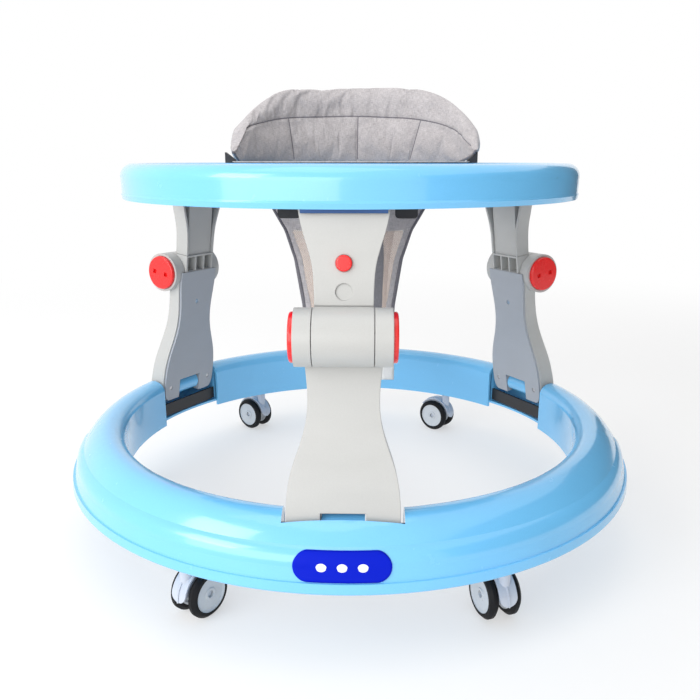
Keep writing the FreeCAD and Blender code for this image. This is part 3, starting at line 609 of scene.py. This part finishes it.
def pad_section(angle):
    """Closed section of the backrest at one angle: (radius, height, held), from the inner foot up."""
    low = pad_low.z - 0.3 * MM
    top = along_edge(TOP_EDGE, angle)
    seam = min(along_edge(SEAM_EDGE, angle), top - 2 * MM)
    puff = cell_puff(angle)
    face = []
    for i in range(FACE_STEPS - 1):
        share = i / (FACE_STEPS - 1)
        belly = math.sin(math.pi * share) ** 0.7
        radius = FACE_RADIUS - FACE_LEAN * (share - 0.4) - PUFF * belly * puff
        face.append((radius, low + (seam - low) * share, i == 0 or puff < 0.45))
    face.append((FACE_RADIUS - FACE_LEAN * 0.6, seam - SEAM_WIDTH, True))
    half_height = (top - seam) / (1 + math.sin(math.radians(ROLL_START)))
    middle = top - half_height
    roll = []
    for i in range(ROLL_STEPS):
        turn = math.radians(-ROLL_START + 110 * i / ROLL_STEPS)
        roll.append((ROLL_RADIUS - ROLL_REACH * math.cos(turn), middle + half_height * math.sin(turn),
                     i == 0))
    back = []
    for i in range(8):
        turn = math.pi / 2 * i / 8
        back.append((ROLL_RADIUS + (BACK_RADIUS - ROLL_RADIUS) * math.sin(turn),
                     middle + half_height * math.cos(turn), False))
    for i in range(12):
        back.append((BACK_RADIUS, middle + (low - middle) * i / 12, False))
    foot = [(BACK_RADIUS + (FACE_RADIUS - BACK_RADIUS) * i / 4, low, True) for i in range(4)]
    return face + roll + back + foot


def pad_place(nominal, radius, z):
    """A point of the backrest: the ends are cut back towards the foot and thin out."""
    low = pad_low.z - 0.3 * MM
    seam = along_edge(SEAM_EDGE, nominal)
    share = max(0.0, min(1.0, (z - low) / (seam - low)))
    cut = 0.11 if nominal < 0 else 0.15 + 0.1 * nominal / RIGHT_END
    end = LEFT_END if nominal < 0 else RIGHT_END
    taper = max(0.25, min(1.0, math.sqrt(max(0.0, abs(end - nominal)) / 14)))
    thin = FACE_RADIUS + (radius - FACE_RADIUS) * taper
    return polar(thin, nominal * (1 - cut * (1 - share)), z)


def make_backrest():
    """The backrest's cushion: swollen, sewn at its seams and gathered onto the roll."""
    vertices, uvs, held = [], [], []
    columns = 0
    for nominal in np.linspace(LEFT_END, RIGHT_END, PAD_ROWS):
        section = pad_section(nominal)
        columns = len(section)
        run = 0.0
        previous = None
        for radius, z, fixed in section:
            spot = pad_place(nominal, radius, z)
            if previous is not None:
                run += (spot - previous).length
            previous = spot
            vertices.append(spot)
            uvs.append((math.radians(nominal) * PAD_RADIUS, run))
            held.append(1.0 if fixed or nominal in (LEFT_END, RIGHT_END) else 0.0)
    seam_rows = [int((seam - LEFT_END) / (RIGHT_END - LEFT_END) * (PAD_ROWS - 1)) for seam in SEAMS]
    faces, slots = [], []
    for row in range(PAD_ROWS - 1):
        for column in range(columns):
            after = (column + 1) % columns
            faces.append((row * columns + column, (row + 1) * columns + column,
                          (row + 1) * columns + after, row * columns + after))
            stitched = column == FACE_STEPS - 1 or (row in seam_rows and 0 < column < FACE_STEPS)
            slots.append(1 if stitched else 0)
    faces.append(tuple(range(columns)))
    faces.append(tuple((PAD_ROWS - 1) * columns + c for c in range(columns - 1, -1, -1)))
    slots.extend([0, 0])
    pad = new_piece("backrest_cushion", vertices, faces, [FABRIC, TAPE], slots, uvs)
    inflate(pad, held, limit=4 * MM)
    sew(pad, columns, seam_rows)
    gather(pad, columns)
    modifier(pad, "SUBSURF", levels=1, render_levels=1)
    bake_modifiers(pad)
    return pad


def sew(pad, columns, seam_rows):
    """Pull the vertical seams and the arc seam into the padding."""
    for index, vertex in enumerate(pad.data.vertices):
        row, place = divmod(index, columns)
        nearest = min(abs(row - seam - 0.5) for seam in seam_rows)
        depth = 0.0
        if 0 < place < FACE_STEPS:
            depth = SEAM_DEPTH * math.exp(-(nearest / 2.2) ** 2)
        if place in (FACE_STEPS - 1, FACE_STEPS):
            depth = SEAM_DEPTH
        outward = Vector((vertex.co.x, vertex.co.y - SEAT_Y, 0)).normalized()
        vertex.co += outward * depth
    pad.data.update()


def make_pad_binding():
    """Dark tape sewn round both ends of the backrest."""
    parts = []
    for end in (LEFT_END, RIGHT_END):
        section = pad_section(end)
        line = [pad_place(end, radius, z) for radius, z, fixed in section[:FACE_STEPS + ROLL_STEPS]]
        parts.append(tube(line, 1.7 * MM, 8, 0.8, up=Vector((0, 1, 0))))
    vertices, faces = joined(parts)
    return new_piece("backrest_binding", vertices, faces, [TAPE], uvs=[(v.x, v.z) for v in vertices])


def inflate(pad, held, limit):
    """Swell a cushion by cloth pressure, its seams held, no point moving further than limit."""
    group = pad.vertex_groups.new(name="held")
    for index, weight in enumerate(held):
        if weight > 0:
            group.add([index], weight, "REPLACE")
    sim = pad.modifiers.new("Cloth", "CLOTH")
    sim.settings.vertex_group_mass = "held"
    sim.settings.use_pressure = True
    sim.settings.uniform_pressure_force = 4
    sim.settings.tension_stiffness = 12
    sim.settings.compression_stiffness = 12
    sim.settings.bending_stiffness = 0.6
    sim.settings.effector_weights.gravity = 0
    sim.settings.shrink_min = -0.03
    sim.settings.quality = 6
    sim.collision_settings.use_collision = False
    sim.point_cache.frame_end = SIM_STEPS
    rest = np.array([v.co for v in pad.data.vertices])
    scene = bpy.context.scene
    for step in range(1, SIM_STEPS + 1):
        scene.frame_set(step)
    evaluated = pad.evaluated_get(bpy.context.evaluated_depsgraph_get())
    moved = np.array([v.co for v in evaluated.data.vertices])
    pad.modifiers.remove(sim)
    scene.frame_set(1)
    shift = moved - rest
    far = np.linalg.norm(shift, axis=1)
    shift *= (np.minimum(far, limit) / np.maximum(far, 1e-9))[:, None]
    pad.data.vertices.foreach_set("co", (rest + shift).ravel())
    pad.data.update()


def gather(pad, columns):
    """Puckers that run up from the arc seam, where the roll is eased onto the face."""
    random.seed(7)
    folds = [(random.uniform(LEFT_END + 12, RIGHT_END - 4), random.uniform(0.9, 2.2), random.uniform(-6, 6),
              random.uniform(1.2, 3.0) * MM) for i in range(FOLDS)]
    angles = np.linspace(LEFT_END, RIGHT_END, PAD_ROWS)
    for index, vertex in enumerate(pad.data.vertices):
        place = index % columns
        if not FACE_STEPS - 5 < place < FACE_STEPS + ROLL_STEPS - 3:
            continue
        angle = angles[index // columns]
        up = (place - FACE_STEPS) / ROLL_STEPS
        fade = math.exp(-(up / (0.28 if up > 0 else 0.12)) ** 2)
        depth = sum(size * math.exp(-((angle - middle - slant * up) / width) ** 2)
                    for middle, width, slant, size in folds)
        outward = Vector((vertex.co.x, vertex.co.y - SEAT_Y, 0)).normalized()
        vertex.co += outward * fade * min(depth, 3.2 * MM)
    pad.data.update()


# ---------------------------------------------------------------- strips above the sleeves

LIP_HALF = 0.038
LIP_DEPTH = 0.0016
LIP_RADIUS = 0.2573
LIP_STEPS = 8


def make_hinge_strip(leg, turn):
    """A lip that shows under the tray's rim, above a sleeve, in the shell's blue darkened as painted shade.
    """
    low = tray_low.z - 3.4 * MM
    high = tray_low.z + 0.2 * MM
    section = [(0, low + 0.5 * MM), (0.3 * MM, low), (LIP_DEPTH, low), (LIP_DEPTH, high), (0, high)]
    vertices, faces = [], []
    for step in range(LIP_STEPS + 1):
        x = LIP_HALF * (step / (LIP_STEPS / 2) - 1)
        for back, z in section:
            place = Vector((x, -LIP_RADIUS + back, z))
            place.rotate(Euler((0, 0, math.radians(turn))))
            vertices.append(place)
    count = len(section)
    for step in range(LIP_STEPS):
        for k in range(count):
            after = (k + 1) % count
            faces.append((step * count + k, step * count + after, (step + 1) * count + after,
                          (step + 1) * count + k))
    faces.append(tuple(range(count - 1, -1, -1)))
    faces.append(tuple(LIP_STEPS * count + k for k in range(count)))
    # Its colour is painted shade: the shell's blue darkened, as the underside is.
    strip = new_piece("hinge_strip_" + leg, vertices, faces, [SHADED_BLUE])
    strip.data.polygons.foreach_set("use_smooth", [False] * len(strip.data.polygons))
    return strip


# ---------------------------------------------------------------- badge

BADGE_LOW = 0.0858
BADGE_HIGH = 0.1110
BADGE_HALF = 0.0425
DOT_RADIUS = 4.6 * MM
DOT_SPACING = 0.018


def make_badge():
    """A plain blue pill on the front of the ring, with three white dots."""
    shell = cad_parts["base_shell"]
    tree = BVHTree.FromPolygons([v.co for v in shell.data.vertices],
                                [tuple(p.vertices) for p in shell.data.polygons])

    def on_shell(x, z, lift):
        start = Vector((x, -0.45, z))
        spot = tree.ray_cast(start, Vector((0, 1, 0)))[0]
        return spot + Vector((x * 2.5, -1, 0.15)).normalized() * lift

    half_height = (BADGE_HIGH - BADGE_LOW) / 2
    middle = (BADGE_HIGH + BADGE_LOW) / 2

    def pill(across, up, rows, columns, x_middle, lift, cut):
        vertices = []
        for column in range(columns):
            t = -math.cos(math.pi * column / (columns - 1))
            x = t * across
            from_end = across - abs(x)
            reach = up if from_end > up else math.sqrt(max(up ** 2 - (up - from_end) ** 2, 0))
            for row in range(rows):
                s = -1 + 2 * row / (rows - 1)
                edge = max(abs(s), abs(t) ** 6)
                drop = lift * (1 - 0.6 * max(0.0, (edge - 0.86) / 0.14) ** 2)
                vertices.append(on_shell(x_middle + x, middle + s * max(reach, cut), drop))
        return vertices, grid_faces(columns, rows)

    vertices, faces = pill(BADGE_HALF, half_height, 15, 61, 0.0, 0.9 * MM, 0.2 * MM)
    badge = new_piece("badge_plate", vertices, faces, [BADGE_BLUE])
    dots = []
    for x in (-DOT_SPACING, 0.0, DOT_SPACING):
        dots.append(pill(DOT_RADIUS, DOT_RADIUS, 9, 13, x, 1.3 * MM, 0.05 * MM))
    vertices, faces = joined(dots)
    marks = new_piece("badge_dots", vertices, faces, [BADGE_WHITE])
    for piece in (badge, marks):
        modifier(piece, "SOLIDIFY", thickness=0.7 * MM, offset=-1 if piece is badge else 0)
        bake_modifiers(piece)
    return [badge, marks]


# ---------------------------------------------------------------- stage

BACKDROP = 1.0
FLOOR_RINGS = (0.6, 1.5, 4.0, 40.0)


def make_floor():
    """A pale floor that fades to the backdrop's white far from the walker."""
    vertices = [Vector((0, 0, 0))]
    faces = []
    around = 96
    for radius in FLOOR_RINGS:
        for step in range(around):
            turn = 2 * math.pi * step / around
            vertices.append(Vector((radius * math.cos(turn), radius * math.sin(turn), 0)))
    for step in range(around):
        after = (step + 1) % around
        faces.append((0, 1 + step, 1 + after))
        for ring in range(len(FLOOR_RINGS) - 1):
            first = 1 + ring * around
            faces.append((first + step, first + around + step, first + around + after, first + after))
    material, tree, shader = new_material("pale_floor", Roughness=0.75, Specular_IOR_Level=0.2)
    place = node(tree, "ShaderNodeTexCoord").outputs["Object"]
    grain = noise(tree, place, 40, 4)
    tone = remap(tree, grain, 0.995, 1.005)
    link(tree, shaded(tree, (0.90, 0.90, 0.90), tone), shader.inputs["Base Color"])
    reach = node(tree, "ShaderNodeVectorMath", {0: place}, operation="LENGTH").outputs["Value"]
    fade = node(tree, "ShaderNodeMapRange", {"Value": reach, "From Min": 0.8, "From Max": 2.2, "To Min": 0.5},
                interpolation_type="SMOOTHSTEP").outputs[0]
    glow = node(tree, "ShaderNodeEmission", {"Color": (1, 1, 1, 1), "Strength": BACKDROP})
    mixed = node(tree, "ShaderNodeMixShader", {0: fade, 1: shader.outputs[0], 2: glow.outputs[0]})
    tree.links.new(mixed.outputs[0], tree.nodes["Material Output"].inputs["Surface"])
    floor = new_piece("floor", vertices, faces, [material])


def make_flag():
    """A dark card out of view that shades the walker's right side, as in a product studio."""
    material, tree, shader = new_material("dark_card", Roughness=0.9, Specular_IOR_Level=0.0)
    place = node(tree, "ShaderNodeTexCoord").outputs["Object"]
    link(tree, shaded(tree, (0.16, 0.16, 0.16), noise(tree, place, 5)), shader.inputs["Base Color"])
    foot = [(1.5, -2.2), (2.3, 0.6), (1.7, 2.6)]
    corners = [(x, y, z) for z in (0.02, 1.9) for x, y in foot]
    flag = new_piece("dark_card", corners, [(0, 1, 4, 3), (1, 2, 5, 4)], [material])
    flag.visible_camera = False


def make_light(name, place, aim, width, height, power):
    data = bpy.data.lights.new(name, "AREA")
    data.shape = "RECTANGLE"
    data.size = width
    data.size_y = height
    data.energy = power
    light = bpy.data.objects.new(name, data)
    light.location = place
    light.rotation_euler = (Vector(aim) - Vector(place)).to_track_quat("-Z", "Y").to_euler()
    bpy.context.scene.collection.objects.link(light)


def make_stage():
    make_floor()
    world = bpy.data.worlds.new("studio")
    world.use_nodes = True
    world.node_tree.nodes["Background"].inputs["Color"].default_value = (1, 1, 1, 1)
    world.node_tree.nodes["Background"].inputs["Strength"].default_value = BACKDROP
    bpy.context.scene.world = world
    make_light("key", (-1.7, -1.3, 1.5), (0, 0, 0.25), 1.0, 1.0, 15)
    make_light("softbox", (-1.15, -2.0, 0.7), (0, 0, 0.25), 2.4, 1.3, 24)
    make_light("top", (-0.3, -0.4, 2.2), (0, 0, 0.2), 1.4, 1.4, 6)
    make_flag()
    bpy.context.scene.view_settings.view_transform = "Standard"


def make_camera():
    data = bpy.data.cameras.new("camera")
    data.sensor_width = 36
    data.lens = 37.6
    camera = bpy.data.objects.new("camera", data)
    camera.location = (0.0181, -0.8934, 0.4367)
    camera.rotation_euler = (math.radians(75.45), 0, math.radians(1.16))
    bpy.context.scene.collection.objects.link(camera)
    bpy.context.scene.camera = camera


# ---------------------------------------------------------------- assembly

def attach(piece, body):
    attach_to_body(piece, body)


make_camera()
dress_frame()

sling_pieces = make_sling()
band = make_seat_band()
for piece in sling_pieces:
    attach(piece, "tray")
    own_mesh(piece)
attach(band, "tray")
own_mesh(band)
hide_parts("seat_sling")

backrest = make_backrest()
attach(backrest, "tray")
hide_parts("backrest_pad", "backrest_plate")
attach(make_pad_binding(), "tray")

for leg, turn in LEGS.items():
    attach(make_hinge_strip(leg, turn), "tray")

for badge_piece in make_badge():
    attach(badge_piece, "base")

make_stage()
